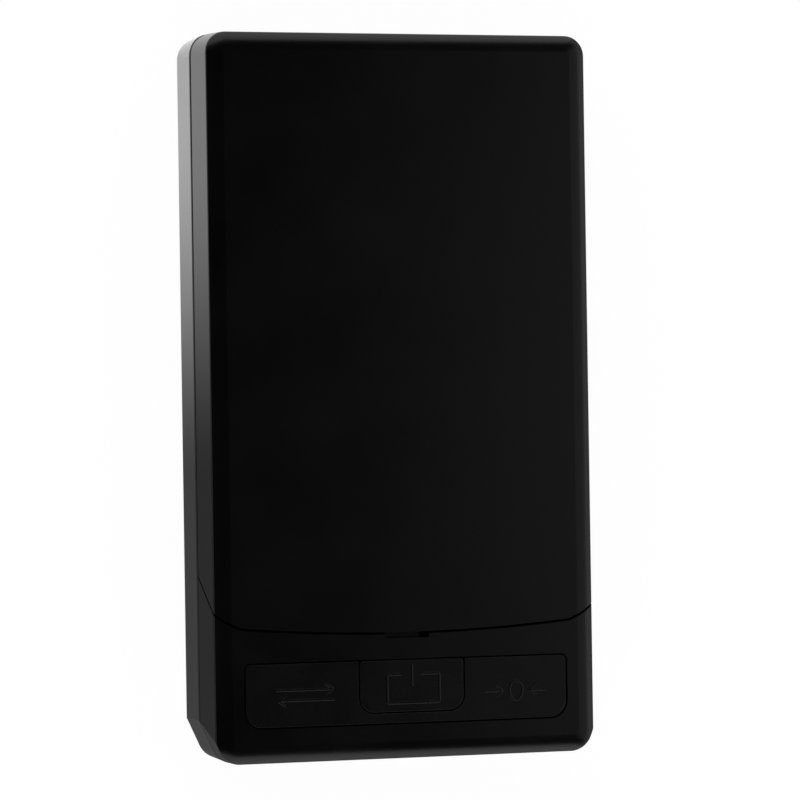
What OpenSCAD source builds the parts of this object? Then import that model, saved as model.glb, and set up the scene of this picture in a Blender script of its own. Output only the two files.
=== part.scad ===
// Pocket gram scale with a hinged lid, a keypad nose and a bending-bar load cell.
// Millimetres. Origin on the resting plane under the middle of the case.
// +X right, +Y from the keys to the hinge, +Z up.

/* [Case] */
// Length of the closed case
case_l = 127; // [124:1:136]
// Width of the case at the parting line
case_w = 70; // [68:1:80]
// Height from the resting plane to the top face
case_h = 21; // [20.5:0.5:24]
// Plan radius of the case's corners
corner_r = 4; // [4:0.25:5]
// Length of the slanted facets beside the key end
facet_l = 7.6; // [6:0.2:8.4]
// Turn of the facets from the sides, in degrees
facet_turn = 24.5; // [20:0.5:27]
// How far the nose's facets lean outwards up to the top face
facet_lean = 1.2; // [0.8:0.1:1.4]
// Height of the base housing
base_h = 10.4; // [10.2:0.1:10.8]
// Wall of the base housing
base_wall = 1.8; // [1.5:0.1:2]
// Floor of the base housing
floor_t = 1.6; // [1.4:0.1:2]
// Radius along the bottom edge of the base
base_edge_r = 1.2; // [0.6:0.1:1.4]
// Radius along the edges that meet at the parting line
rim_r = 0.35; // [0.2:0.05:0.5]
// How far the base draws in towards its bottom
base_draft = 0.25; // [0.05:0.05:0.4]
// How far the upper sides draw in towards the top
upper_draft = 0.45; // [0.1:0.05:0.6]
// Width of the soft crown round the top face
crown_w = 3; // [2:0.25:3.25]
// Fall of the crown from the top face to the shoulder
crown_drop = 0.8; // [0.4:0.1:1.2]
// Radius along the shoulder between the crown and the sides
shoulder_r = 0.4; // [0.2:0.05:0.6]

/* [Nose] */
// Length of the nose along the middle of the top face
nose_l = 22.45; // [22:0.25:25]
// Wall of the nose
nose_wall = 2.2; // [2:0.1:2.4]
// Roof of the nose
nose_roof = 1.6; // [1.4:0.1:1.8]
// Gap between the nose and the base rim
nose_gap = 0.35; // [0.2:0.05:0.5]
// Lean of the ramp under the lid, from upright
seam_tilt = 36; // [30:1:40]
// Radius of the arched seam
seam_r = 380; // [250:10:600]
// Length of the slanted ends of the seam
seam_end_w = 5; // [4:0.25:6]
// Turn of the slanted ends of the seam, in degrees
seam_end_turn = 20; // [12:1:24]
// Gap between the lid and the ramp
seam_gap = 0.35; // [0.25:0.05:0.5]
// Width of the thumb notch under the lid lip
notch_w = 8; // [6:0.5:14]
// Depth of the thumb notch
notch_d = 0.7; // [0.4:0.1:1.2]
// Height of the thumb notch
notch_h = 2.4; // [1:0.2:3]

/* [Lid and hinge] */
// Wall of the lid
lid_wall = 1.6; // [1.3:0.1:1.6]
// Roof of the lid
lid_roof = 1.5; // [1.2:0.1:1.7]
// Gap between the lid and the base rim
lid_gap = 0.5; // [0.35:0.05:0.6]
// Height of the hinge axis above the lid's lower edge
hinge_r = 3; // [2.9:0.05:3.2]
// Distance of each knuckle from the middle
knuckle_x = 22; // [16:1:25]
// Width of a knuckle
knuckle_w = 6; // [5:0.5:8]
// Side gap between a knuckle and the lid
knuckle_gap = 0.3; // [0.2:0.05:0.5]
// Thickness of the lid's hinge cheeks
cheek_t = 2.2; // [1.6:0.1:3]
// Radius of the hinge pins
pin_r = 1; // [0.75:0.05:1.2]
// Running clearance of the pins in the knuckles
pin_clear = 0.05; // [0.02:0.01:0.1]

/* [Deck and display] */
// Height of the deck above the base rim
deck_rise = 1; // [0.8:0.1:1.2]
// Thickness of the deck
deck_t = 1.6; // [1.4:0.1:1.8]
// Fit between the deck edge and the base wall
case_fit = 0.2; // [0.1:0.05:0.3]
// Height of the display panel above the deck
panel_rise = 2.2; // [2:0.1:2.5]
// Length of the display panel behind the ramp
panel_l = 33; // [32:0.5:35]
// Width of the display opening
view_w = 42; // [34:1:43]
// Length of the display opening
view_l = 14; // [10:0.5:15]
// Ledge under the display window
window_ledge = 1.5; // [1:0.1:2]
// Thickness of the display window
window_t = 1; // [0.8:0.1:1.1]
// Width of the display glass
glass_w = 49; // [46:1:50]
// Length of the display glass
glass_l = 21; // [20:0.5:22]
// Thickness of the display glass
glass_t = 2; // [1.6:0.1:2.2]
// Thickness of the backlight and of the rubber contact strips
backlight_t = 1.2; // [1:0.1:1.4]
// Thickness of both circuit boards
board_t = 1.2; // [1:0.1:1.6]

/* [Keys] */
// Distance from the case's sides to the keypad opening
pad_side = 5.5; // [5:0.1:9]
// Length of the keypad opening
pad_l = 11.4; // [10.8:0.2:12]
// Distance from the key end to the keypad opening
pad_margin = 6.4; // [6:0.1:7]
// Corner radius of the keypad opening towards the lid
pad_top_r = 1.2; // [0.6:0.1:2]
// Corner radius of the keypad opening towards the key end
pad_end_r = 3.2; // [2:0.1:4]
// Width of the power key
power_w = 18.9; // [15:0.5:22]
// Offset of the power key to the right of the middle
power_x = 0.8; // [0:0.1:1.5]
// Length of the power key
power_l = 8.9; // [8:0.1:9.2]
// Corner radius of the power key
power_r = 2.6; // [1:0.1:3.5]
// Gap round the keys
key_gap = 0.28; // [0.2:0.02:0.36]
// Depth of the key tops under the top face
key_sink = 0.1; // [0:0.05:0.3]
// Height of the key caps
cap_h = 2.8; // [2.5:0.1:3]
// Wall of the key caps
cap_wall = 1; // [0.8:0.1:1.2]
// Radius of the key stems
stem_r = 1.8; // [1.2:0.1:2.4]
// Radius of the trunnion that the side keys rock on
trunnion_r = 0.8; // [0.6:0.05:0.9]
// Radius of a silicone dome
dome_r = 4; // [3:0.25:4.5]
// Height of a silicone dome
dome_h = 2; // [1.6:0.1:2.1]

/* [Weighing] */
// Gap between the tray and the deck's long edges
tray_side = 3; // [2.5:0.1:6]
// Gap between the tray and the deck's ends
tray_end = 2.5; // [2:0.1:5]
// Height of the tray's top face above the deck
tray_rise = 2.7; // [2.4:0.1:2.8]
// Depth of the tray's rim
tray_rim = 1.8; // [1:0.1:1.9]
// Sheet thickness of the tray
tray_t = 0.5; // [0.4:0.1:0.8]
// Corner radius of the tray
tray_r = 5; // [3:0.5:8]
// Gap between the carrier and the tray rim
carrier_gap = 0.4; // [0.3:0.1:1]
// Thickness of the carrier plate
carrier_t = 1.2; // [1:0.1:1.3]
// Room between the load cell and the hinge end of the deck
cell_end = 11.6; // [9:0.2:13]
// Width of the load cell
cell_w = 12; // [10:0.5:14]
// Height of the load cell
cell_h = 6; // [5.4:0.1:6.2]
// Radius of the two holes that thin the load cell
cell_hole_r = 2.5; // [2:0.05:2.6]
// Height of the pedestal under the load cell
pedestal_h = 1; // [0.8:0.1:1.2]
// Length of the load cell's clamped and loaded ends
clamp_l = 11; // [10:0.5:12]

/* [Batteries] */
// Diameter of a battery cell
battery_d = 10.5; // [10:0.1:10.5]
// Length of a battery cell
battery_l = 44.5; // [43:0.5:45]
// Gap between and under the battery cells
battery_gap = 0.3; // [0.2:0.05:0.4]
// Room for the contacts at each end of the cells
contact_room = 2; // [1.6:0.1:2.4]
// Thickness of the contact plates
contact_t = 0.4; // [0.3:0.05:0.5]
// Thickness of the battery door
door_t = 1.25; // [1.1:0.05:1.3]
// Sliding clearance of the battery door
door_fit = 0.15; // [0.1:0.01:0.2]
// Width of each tongue along the battery door
tongue_w = 1.3; // [1:0.1:1.5]

/* [Feet and screws] */
// Height of the feet below the base
foot_h = 0.8; // [0.6:0.1:1]
// Radius of the feet
foot_r = 3.2; // [2.5:0.1:3.4]
// Depth of the feet's recesses
foot_seat = 0.4; // [0.3:0.05:0.6]
// Distance of the feet from the case's sides
foot_side = 4.8; // [4.6:0.1:5]
// Distance of the far feet from the hinge end
foot_end = 6.5; // [6:0.25:7]
// Distance of the near feet from the key end
foot_key_end = 8.6; // [8.4:0.2:12]
// Shank radius of the screws
screw_r = 1; // [0.8:0.05:1.1]
// Head radius of the screws
screw_head_r = 1.8; // [1.6:0.05:1.9]
// Head height of the screws
screw_head_h = 1.1; // [0.9:0.05:1.2]
// Clearance round screw heads and shanks
screw_clear = 0.2; // [0.1:0.05:0.3]

/* [Hidden] */
$fn = 64;
eps = 0.01;
cut = 1;
least_r = 0.5;
half_l = case_l / 2;
half_w = case_w / 2;

// Levels of the housings
base_z0 = foot_h;
floor_top = base_z0 + floor_t;
base_top = base_z0 + base_h;
lid_z0 = base_top + lid_gap;
nose_z0 = base_top + nose_gap;
roof_z = case_h - nose_roof;
shoulder_z = case_h - crown_drop;
deck_top = base_top + deck_rise;
deck_bot = deck_top - deck_t;
panel_top = deck_top + panel_rise;
panel_bot = panel_top - deck_t;
deck_inset = base_wall + case_fit;
deck_w = case_w - 2 * deck_inset;
deck_l = case_l - 2 * deck_inset;
seam_y = -half_l + nose_l;
seam_end_x = half_w - seam_end_w;
seam_end_y = seam_r - sqrt(seam_r * seam_r - seam_end_x * seam_end_x);
panel_y1 = seam_y + panel_l;
panel_bite = 1;
side_lean = atan(upper_draft / (shoulder_z - base_top));
crown_r = (crown_w * crown_w + crown_drop * crown_drop) / (2 * crown_drop);
crown_x = crown_w + upper_draft;
shoulder_skim = 0.005;

// Facets beside the key end: centre of the arc at their tips, and the slide of a tip that is drawn in
facet_tip = (corner_r + (facet_l - corner_r) * sin(facet_turn)) / cos(facet_turn);
facet_arc = [half_w - facet_tip, -half_l + corner_r];
facet_slide = (1 - sin(facet_turn)) / cos(facet_turn);
facet_skim = 0.02;
facet_chamfer = base_edge_r * (2 - sqrt(2));

// Hinge
hinge_y = half_l - hinge_r;
hinge_z = lid_z0 + hinge_r;
hinge_room = 0.4;
hinge_sweep = hinge_r + hinge_room;
deck_y1 = hinge_y - hinge_sweep;
shelf_drop = 1.1;
shelf_top = lid_z0 - shelf_drop;
shelf_t = 1.2;
knuckle_r = hinge_r - upper_draft / 2;
cheek_r = hinge_r - hinge_room;
pin_l = knuckle_w + 2 * knuckle_gap + 2 * cheek_t;
back_bevel_l = hinge_r;
back_bevel_h = 1.2;

// Batteries and boards
battery_r = battery_d / 2;
battery_z = floor_top + battery_gap + battery_r;
lip_t = 1;
lip_drop = 1;
lip_rise = 0.8;
lip_reach = 4;
battery_y0 = -half_l + deck_inset + lip_t + battery_gap + battery_r;
battery_y1 = battery_y0 + battery_d + battery_gap;
bay_half = battery_l / 2 + contact_room;
bay_wall = 1.8;
bay_low = 2;
bay_h = battery_d - bay_low;
bay_l = 2 * battery_d + 3 * battery_gap;
door_half = bay_half - tongue_w / 2;
door_y1 = battery_y1 + battery_r + battery_gap;
door_lip = 0.5;
door_groove_z0 = base_z0 + door_lip;
door_groove_z1 = base_z0 + door_t + door_fit;
grip_count = 4;
grip_w = 16;
grip_pitch = 2;
grip_d = 0.4;
grip_end = 5;
grip_y0 = -half_l + grip_end;
nub_r = 1.9;
nub_h = 1;
board_room = 0.5;
board_end = 0.3;
board_z0 = battery_z + battery_r + board_room;
board_z1 = board_z0 + board_t;
boss_out = 1.75;
boss_x = bay_half + boss_out;
boss_edge = 3.2;
board_w = 2 * (boss_x + boss_edge);
board_r = corner_r - nose_wall - board_room;
board_y0 = -half_l + nose_wall + board_room;
ramp_back = (seam_gap + nose_wall) / cos(seam_tilt);
board_y1 = seam_y - ramp_back + (case_h - board_z1) * tan(seam_tilt) - board_end;
boss_r = 1.9;
boss_room = 0.35;

// Keys
pad_y0 = -half_l + pad_margin;
pad_w = case_w - 2 * pad_side;
pad_y1 = pad_y0 + pad_l;
key_top = case_h - key_sink;
cap_z0 = key_top - cap_h;
power_y1 = pad_y1 - key_gap;
power_y0 = power_y1 - power_l;
power_y = (power_y0 + power_y1) / 2;
side_y = (pad_y0 + pad_y1) / 2;
dome_rest = 0.1;
stem_z0 = board_z1 + dome_h + dome_rest;
trunnion_y0 = pad_y0 + key_gap;
trunnion_y1 = power_y0 - key_gap;
saddle_w = 4;
saddle_room = 0.4;
saddle_z0 = board_z1 + saddle_room;
saddle_z1 = cap_z0 - dome_rest;
stop_flange = 0.6;
boss_y0 = pad_y0 - boss_r - boss_room;
boss_y1 = pad_y1 + boss_r + stop_flange + boss_room;
power_top_r = 0.6;
dome_foot = 0.4;
chip_r = 3;
chip_t = 0.8;

// Weighing
cell_z0 = floor_top + pedestal_h;
cell_z1 = cell_z0 + cell_h;
cell_room = 6.5;
cell_y0 = panel_y1 + cell_room;
cell_y1 = deck_y1 - cell_end;
tray_w = deck_w - 2 * tray_side;
tray_l = deck_y1 - panel_y1 - 2 * tray_end;
tray_y = (panel_y1 + deck_y1) / 2;
tray_z1 = deck_top + tray_rise;
carrier_z1 = tray_z1 - tray_t;
carrier_z0 = carrier_z1 - carrier_t;
post_w = cell_w;
post_inset = 0.5;
post_l = clamp_l - 2 * post_inset;
post_y = cell_y1 - clamp_l / 2;
post_room = 1;
cell_screw_gap = 6;
pedestal_margin = 2;
head_sink = 0.2;
cell_head_seat = screw_head_h + head_sink;
cell_y = (cell_y0 + cell_y1) / 2;
cell_z = (cell_z0 + cell_z1) / 2;
cell_web = 3.6;
cell_slot = 1.2;
gauge_t = 0.25;
overload_gap = 0.5;
carrier_w = tray_w - 2 * tray_t - 2 * carrier_gap;
carrier_l = tray_l - 2 * tray_t - 2 * carrier_gap;
carrier_seat = carrier_z1 - screw_head_h - head_sink / 2;
relief_r = 8;
relief_edge = 0.5;
relief_x = post_w / 2 + relief_r + relief_edge;

// Display stack
panel_y0 = seam_y + (case_h - panel_top) * tan(seam_tilt);
view_y = (panel_y0 + panel_y1) / 2;
glass_z0 = panel_bot - glass_t;
display_board_z1 = glass_z0 - backlight_t;
display_board_z0 = display_board_z1 - board_t;
display_edge_w = 0.5;
display_edge_l = 2;
display_board_w = glass_w + 2 * display_edge_w;
display_board_l = glass_l + 2 * display_edge_l;
light_inset = 1;
board_post_r = 2;
board_post_inset = 3;
zebra_w = 1.6;
window_r = 1.5;
ribbon_w = 12;
ribbon_t = 0.3;
ribbon_tab = 1.2;

// Case screws and feet
base_boss_r = 3.2;
boss_bite = 0.8;
case_screw_x = half_w - base_wall - base_boss_r + boss_bite;
near_screw_l = 8;
far_screw_l = 6.5;
case_screw_y0 = seam_y + near_screw_l;
case_screw_y1 = deck_y1 - far_screw_l;
base_boss_h = 4;
boss_split = floor_top + base_boss_h;
boss_seat_t = 1.6;
case_head_seat = boss_split - boss_seat_t;
case_screw_tip = deck_bot;
tip_room = 0.5;
thread_clear = 0.02;
top_boss_r = 2;
foot_x = half_w - foot_side;
foot_y0 = -half_l + foot_key_end;
foot_y1 = half_l - foot_end;

// Draft of the upper sides at a height
function upper_inset(z) = upper_draft * (z - base_top) / (shoulder_z - base_top);

// Draft of the base sides at a height
function base_inset(z) = base_draft * (base_top - z) / base_h;

// Width of the left (-1) or right (1) side key, and the place of its middle
function side_w(s) = (pad_w - power_w) / 2 - 2 * key_gap - s * power_x;
function side_x(s) = s * (pad_w + power_w) / 4 + power_x / 2;

// Unit vector at a heading
function heading(a) = [cos(a), sin(a)];

// Plan outline with one corner radius at each end
module plan_outline(w, l, r_far, r_key) {
    translate([-w / 2, -l / 2 + r_key]) square([w, l - r_far - r_key]);
    translate([-w / 2 + r_far, l / 2 - r_far - eps]) square([w - 2 * r_far, r_far + eps]);
    translate([-w / 2 + r_key, -l / 2]) square([w - 2 * r_key, r_key + eps]);
    for (s = [-1, 1]) {
        translate([s * (w / 2 - r_far), l / 2 - r_far]) circle(r = r_far);
        translate([s * (w / 2 - r_key), -l / 2 + r_key]) circle(r = r_key);
    }
}

module plan_plate(w, l, r_far, r_key, z0, z1) {
    translate([0, 0, z0]) linear_extrude(height = z1 - z0) plan_outline(w, l, r_far, r_key);
}

// What the facet takes off the right-hand corner of an outline that is drawn in by an inset
module facet_corner(inset) {
    r = corner_r - inset;
    start = facet_arc + r * heading(-facet_turn);
    end = start + 2 * facet_l * heading(90 - facet_turn);
    translate([0, -facet_skim]) difference() {
        translate([facet_arc[0], -half_l - cut]) square([half_w - facet_arc[0] + cut, end[1] + half_l]);
        polygon([facet_arc, start, end, [facet_arc[0], end[1]]]);
        translate(facet_arc) circle(r = r);
    }
}

// Both facets as upright wastes from one height to another. At z_level they stand at the case's outline,
// and away from it they slide by so much along X and Y for each millimetre of height
module facet_waste(z_level, z0, z1, slide_x, slide_y) {
    for (s = [0, 1]) mirror([s, 0, 0]) translate([0, 0, z_level])
        multmatrix([[1, 0, slide_x, 0], [0, 1, slide_y, 0], [0, 0, 1, 0], [0, 0, 0, 1]])
            translate([0, 0, z0 - z_level]) linear_extrude(height = z1 - z0) facet_corner(0);
}

// Case outline drawn in by an inset, as a plate between two heights
module case_plate(inset, z0, z1) {
    r = corner_r - inset;
    translate([0, 0, z0]) linear_extrude(height = z1 - z0) difference() {
        plan_outline(case_w - 2 * inset, case_l - 2 * inset, r, r);
        for (s = [0, 1]) mirror([s, 0]) facet_corner(inset);
    }
}

// One straight stretch of a wall section, facing +X
module edge_run(len) {
    rotate([90, 0, 0]) linear_extrude(height = len, center = true) intersection() {
        children();
        translate([-corner_r, 0]) square([corner_r, case_h]);
    }
}

// One quarter turn of a wall section round a plan corner
module edge_corner() {
    rotate_extrude(angle = 90) intersection() {
        translate([corner_r, 0]) children();
        square([corner_r, case_h]);
    }
}

// A wall section carried round the case's plan, with the middle filled
module swept_block(z0, z1) {
    run_w = case_w - 2 * corner_r;
    run_l = case_l - 2 * corner_r;
    translate([-run_w / 2, -run_l / 2, z0]) cube([run_w, run_l, z1 - z0]);
    for (s = [0, 1]) mirror([s, 0, 0]) {
        translate([half_w, 0, 0]) edge_run(run_l) children();
        translate([run_w / 2, run_l / 2, 0]) edge_corner() children();
        translate([run_w / 2, -run_l / 2, 0]) rotate([0, 0, -90]) edge_corner() children();
    }
    translate([0, half_l, 0]) rotate([0, 0, 90]) edge_run(run_w) children();
    translate([0, -half_l, 0]) rotate([0, 0, -90]) edge_run(run_w) children();
}

// What rounding takes off an outer corner of a section: up is 1 at a top corner, -1 at a bottom one
module corner_waste(x, z, r, up) {
    translate([x - r, z - up * r]) difference() {
        translate([0, up > 0 ? 0 : -2 * r]) square(2 * r);
        circle(r = r);
    }
}

// What rounding takes off between the drafted side and the crown
module shoulder_waste() {
    crown = [-crown_x, case_h - crown_r];
    r = shoulder_r - shoulder_skim;
    start = [-upper_draft, shoulder_z] - r * heading(side_lean) - crown;
    down = -heading(side_lean + 90);
    along = start * down;
    slide = -along - sqrt(along * along - start * start + pow(crown_r - r, 2));
    arm = start + slide * down;
    turn = atan2(arm[1], arm[0]);
    fan = 2 * shoulder_r;
    translate(crown + arm) difference() {
        polygon([
            [0, 0], fan * heading(side_lean), fan * heading((side_lean + turn) / 2), fan * heading(turn)
        ]);
        circle(r = shoulder_r);
    }
}

// Section of the lid and nose: rounded lower edge, drafted side, rounded shoulder, soft crown
module upper_section(z0) {
    difference() {
        polygon([
            [-corner_r, z0], [-upper_inset(z0), z0], [-upper_draft, shoulder_z],
            [-upper_draft, case_h], [-corner_r, case_h]
        ]);
        translate([-crown_x, case_h - crown_r]) difference() {
            translate([0, crown_r - crown_drop]) square([crown_x, 2 * crown_drop]);
            circle(r = crown_r, $fn = 128);
        }
        shoulder_waste();
        corner_waste(-upper_inset(z0 + rim_r), z0, rim_r, -1);
    }
}

// Section of the base: rounded bottom edge, drafted side, rounded rim
module base_section() {
    difference() {
        polygon([
            [-corner_r, base_z0], [-base_draft, base_z0], [0, base_top], [-corner_r, base_top]
        ]);
        corner_waste(-base_inset(base_z0 + base_edge_r), base_z0, base_edge_r, -1);
        corner_waste(-base_inset(base_top - rim_r), base_top, rim_r, 1);
    }
}

module upper_block(z0) {
    swept_block(z0, case_h) upper_section(z0);
}

// Base with drafted facets that end in a chamfer along the bottom
module base_block() {
    draft = base_draft / base_h;
    chamfer_z = base_z0 + facet_chamfer + base_draft;
    difference() {
        difference() {
            swept_block(base_z0, base_top) base_section();
            facet_waste(chamfer_z, base_z0 - cut, chamfer_z + cut, facet_slide, -1);
        }
        facet_waste(base_top, base_z0 - cut, base_top + cut, draft * facet_slide, -draft);
    }
}

// The lid's side of the sloping seam: an arch that turns up at both ends
module seam_body(grow) {
    reach = 2 * case_l;
    translate([0, seam_y, case_h]) rotate([seam_tilt, 0, 0]) intersection() {
        translate([0, seam_r, 0]) cylinder(r = seam_r + grow, h = reach, center = true, $fn = 720);
        seam_end(grow, reach);
        mirror([1, 0, 0]) seam_end(grow, reach);
    }
}

// All that lies behind the right-hand end of the seam
module seam_end(grow, reach) {
    translate([seam_end_x, seam_end_y, -reach / 2]) rotate([0, 0, seam_end_turn])
        translate([-reach, -grow, 0]) cube([2 * reach, reach, reach]);
}

// A box centred on X between two Y and two Z values
module bar(w, y0, y1, z0, z1) {
    translate([-w / 2, y0, z0]) cube([w, y1 - y0, z1 - z0]);
}

// A rod along X
module cross_rod(r, len, y, z) {
    translate([0, y, z]) rotate([0, 90, 0]) cylinder(r = r, h = len, center = true);
}

module pan_screw(z_seat, z_tip, up) {
    dir = up ? 1 : -1;
    translate([0, 0, min(z_seat, z_tip)]) cylinder(r = screw_r, h = abs(z_tip - z_seat));
    translate([0, 0, z_seat - (dir + 1) / 2 * screw_head_h]) cylinder(r = screw_head_r, h = screw_head_h);
}

module case_screw_places() {
    for (x = [-case_screw_x, case_screw_x], y = [case_screw_y0, case_screw_y1])
        translate([x, y, 0]) children();
}

module foot_places() {
    for (x = [-foot_x, foot_x], y = [foot_y0, foot_y1]) translate([x, y, 0]) children();
}

module board_screw_places() {
    for (x = [-boss_x, boss_x], y = [boss_y0, boss_y1]) translate([x, y, 0]) children();
}

module cell_screw_places(end_y) {
    for (s = [-1, 1]) translate([0, end_y + s * cell_screw_gap / 2, 0]) children();
}

// Lower housing: tray with screw bosses, battery bay, load cell pedestal and board posts
module base_case() color("#1a1a1b") difference() {
    union() {
        difference() {
            base_block();
            case_plate(base_wall, floor_top, base_top + cut);
        }
        intersection() {
            case_plate(base_wall - eps, base_z0 + eps, base_top);
            base_fittings();
        }
    }
    back_bevel();
    door_slot();
    case_screw_places() screw_well();
    foot_places() translate([0, 0, base_z0 - cut]) cylinder(r = foot_r, h = cut + foot_seat);
    cell_screw_places(cell_y0 + clamp_l / 2) {
        translate([0, 0, base_z0 - cut]) cylinder(r = screw_head_r + screw_clear, h = cut + cell_head_seat);
        cylinder(r = screw_r + screw_clear, h = cell_z0 + cut);
    }
}

module base_fittings() {
    case_screw_places() translate([0, 0, base_z0 + eps])
        cylinder(r = base_boss_r, h = boss_split - base_z0 - eps);
    bar(cell_w + 2 * pedestal_margin, cell_y0, cell_y0 + clamp_l, base_z0 + eps, cell_z0);
    bar(cell_w / 2, cell_y1 - clamp_l / 2, cell_y1 - 2 * post_inset, base_z0 + eps, cell_z0 - overload_gap);
    for (s = [-1, 1]) translate([s * (bay_half + bay_wall / 2), 0, 0])
        bar(bay_wall, battery_y0 - battery_r, door_y1 + bay_wall, base_z0 + eps, floor_top + bay_h);
    bar(2 * bay_half, door_y1, door_y1 + bay_wall, base_z0 + eps, floor_top + bay_h / 2);
    for (x = [-1, 1], y = [-1, 1])
        translate([x * (display_board_w / 2 - board_post_inset),
                   view_y + y * (display_board_l / 2 - board_post_inset), base_z0 + eps])
            cylinder(r = board_post_r, h = display_board_z0 - base_z0 - eps);
}

// Slope that lets the lid swing past the back edge
module back_bevel() {
    rotate([90, 0, 90]) linear_extrude(height = case_w + 2 * cut, center = true) polygon([
        [hinge_y, base_top], [hinge_y + 2 * back_bevel_l, base_top - 2 * back_bevel_h],
        [hinge_y + 2 * back_bevel_l, base_top + cut], [hinge_y, base_top + cut]
    ]);
}

// Opening, end slot and grooves of the battery door
module door_slot() {
    bar(2 * door_half, -half_l + base_wall, door_y1, base_z0 - cut, floor_top + eps);
    bar(2 * door_half, -half_l - cut, door_y1, base_z0 - cut, door_groove_z1);
    bar(2 * (door_half + tongue_w), -half_l - cut, door_y1, door_groove_z0, door_groove_z1);
}

module screw_well() {
    translate([0, 0, base_z0 - cut])
        cylinder(r = screw_head_r + screw_clear, h = case_head_seat - base_z0 + cut);
    cylinder(r = screw_r + screw_clear, h = boss_split + cut);
}

// Upper housing: keypad nose, ramp, display panel, deck and hinge knuckles
module top_case() color("#1b1b1c") difference() {
    union() {
        difference() {
            union() {
                difference() {
                    upper_block(nose_z0);
                    seam_body(seam_gap);
                    nose_facets();
                }
                nose_lip();
                deck_levels();
            }
            difference() {
                case_plate(nose_wall, nose_z0 - 2 * cut, roof_z);
                seam_body(seam_gap + nose_wall);
            }
            bar(deck_w - 2 * deck_t, seam_y - lip_reach, panel_y1 - deck_t, base_z0, panel_bot);
        }
        top_bosses();
        saddle();
        for (s = [-1, 1]) translate([s * knuckle_x, 0, 0]) knuckle();
    }
    translate([0, 0, roof_z - cut]) linear_extrude(height = nose_roof + 2 * cut) pad_outline(0);
    bar(notch_w, seam_y - notch_d - seam_gap, seam_y + 2 * notch_d, case_h - notch_h, case_h + cut);
    bar(view_w, view_y - view_l / 2, view_y + view_l / 2, panel_bot - cut, panel_top + cut);
    translate([0, view_y, 0]) window_plate(case_fit, panel_top - window_t, panel_top + cut);
    bar(post_w + 2 * post_room, post_y - post_l / 2 - post_room, post_y + post_l / 2 + post_room,
        deck_bot - cut, deck_top + cut);
    case_screw_places() cylinder(r = screw_r + thread_clear, h = case_screw_tip + tip_room);
    board_screw_places() translate([0, 0, board_z1 - cut])
        cylinder(r = screw_r + thread_clear, h = roof_z - board_z1 + cut);
    for (s = [-1, 1]) translate([s * knuckle_x, 0, 0])
        cross_rod(pin_r + pin_clear, knuckle_w + 2 * cut, hinge_y, hinge_z);
}

// Facets of the nose, flush with the base at the parting line and leaning outwards above it
module nose_facets() {
    rise = shoulder_z - base_top;
    facet_waste(base_top, base_top, case_h + cut, facet_lean / rise, upper_draft / rise);
}

// Tongue of the nose inside the base rim
module nose_lip() {
    intersection() {
        difference() {
            case_plate(deck_inset, nose_z0 - lip_drop, nose_z0 + lip_rise);
            case_plate(deck_inset + lip_t, nose_z0 - lip_drop - cut, nose_z0 + lip_rise + cut);
        }
        bar(case_w, -half_l, seam_y + lip_reach, 0, case_h);
    }
}

// Display panel, deck and hinge shelf as three steps of one plate
module deck_levels() {
    intersection() {
        case_plate(deck_inset, shelf_top - shelf_t, panel_top);
        union() {
            bar(case_w, seam_y - panel_bite, panel_y1, deck_bot, panel_top);
            bar(case_w, panel_y1 - eps, deck_y1, deck_bot, deck_top);
            bar(case_w, deck_y1 - 2 * shelf_t, half_l, shelf_top - shelf_t, shelf_top + eps);
        }
    }
}

module top_bosses() {
    board_screw_places() translate([0, 0, board_z1]) cylinder(r = boss_r, h = roof_z - board_z1 + eps);
    for (x = [-case_screw_x, case_screw_x]) {
        translate([x, case_screw_y0, boss_split]) cylinder(r = top_boss_r, h = panel_bot - boss_split + eps);
        translate([x, case_screw_y1, boss_split]) cylinder(r = top_boss_r, h = deck_bot - boss_split + eps);
    }
}

// Grooved rib that the side keys rock on
module saddle() {
    difference() {
        bar(saddle_w, -half_l + nose_wall - eps, trunnion_y1, saddle_z0, saddle_z1);
        translate([0, trunnion_y0 - key_gap, cap_z0]) rotate([-90, 0, 0])
            cylinder(r = trunnion_r + pin_clear, h = pad_l);
    }
}

module knuckle() {
    cross_rod(knuckle_r, knuckle_w, hinge_y, hinge_z);
    bar(knuckle_w, hinge_y - knuckle_r, half_l - deck_inset, shelf_top, hinge_z);
}

// Hinged cover
module lid() color("#161617") difference() {
    intersection() {
        upper_block(lid_z0);
        seam_body(0);
    }
    difference() {
        intersection() {
            case_plate(lid_wall, lid_z0 - cut, case_h - lid_roof);
            seam_body(-lid_wall);
        }
        lid_cheeks();
    }
    bar(case_w - 2 * lid_wall, -half_l, panel_y1, lid_z0 - cut, panel_top + lid_gap);
    difference() {
        bar(case_w + 2 * cut, hinge_y, half_l + cut, lid_z0 - cut, hinge_z);
        cross_rod(hinge_r, case_w + 4 * cut, hinge_y, hinge_z);
    }
    for (s = [-1, 1]) translate([s * knuckle_x, 0, 0]) {
        bar(knuckle_w + 2 * knuckle_gap, hinge_y - hinge_sweep, half_l + cut,
            lid_z0 - cut, hinge_z + hinge_sweep);
        cross_rod(pin_r, pin_l, hinge_y, hinge_z);
    }
}

// Ribs of the lid that hold the hinge pins, two beside each knuckle
module lid_cheeks() {
    for (s = [-1, 1], side = [-1, 1])
        translate([s * knuckle_x + side * (pin_l - cheek_t) / 2, 0, 0]) {
            cross_rod(cheek_r, cheek_t, hinge_y, hinge_z);
            bar(cheek_t, hinge_y - cheek_r, half_l, hinge_z, case_h);
        }
}

module hinge_pins() color("#c9ccd0") {
    for (s = [-1, 1]) translate([s * knuckle_x, 0, 0]) cross_rod(pin_r, pin_l, hinge_y, hinge_z);
}

// Outline of the keypad opening, drawn in by a gap
module pad_outline(gap) {
    translate([0, side_y])
        plan_outline(pad_w - 2 * gap, pad_l - 2 * gap, pad_top_r - gap, pad_end_r - gap);
}

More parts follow.
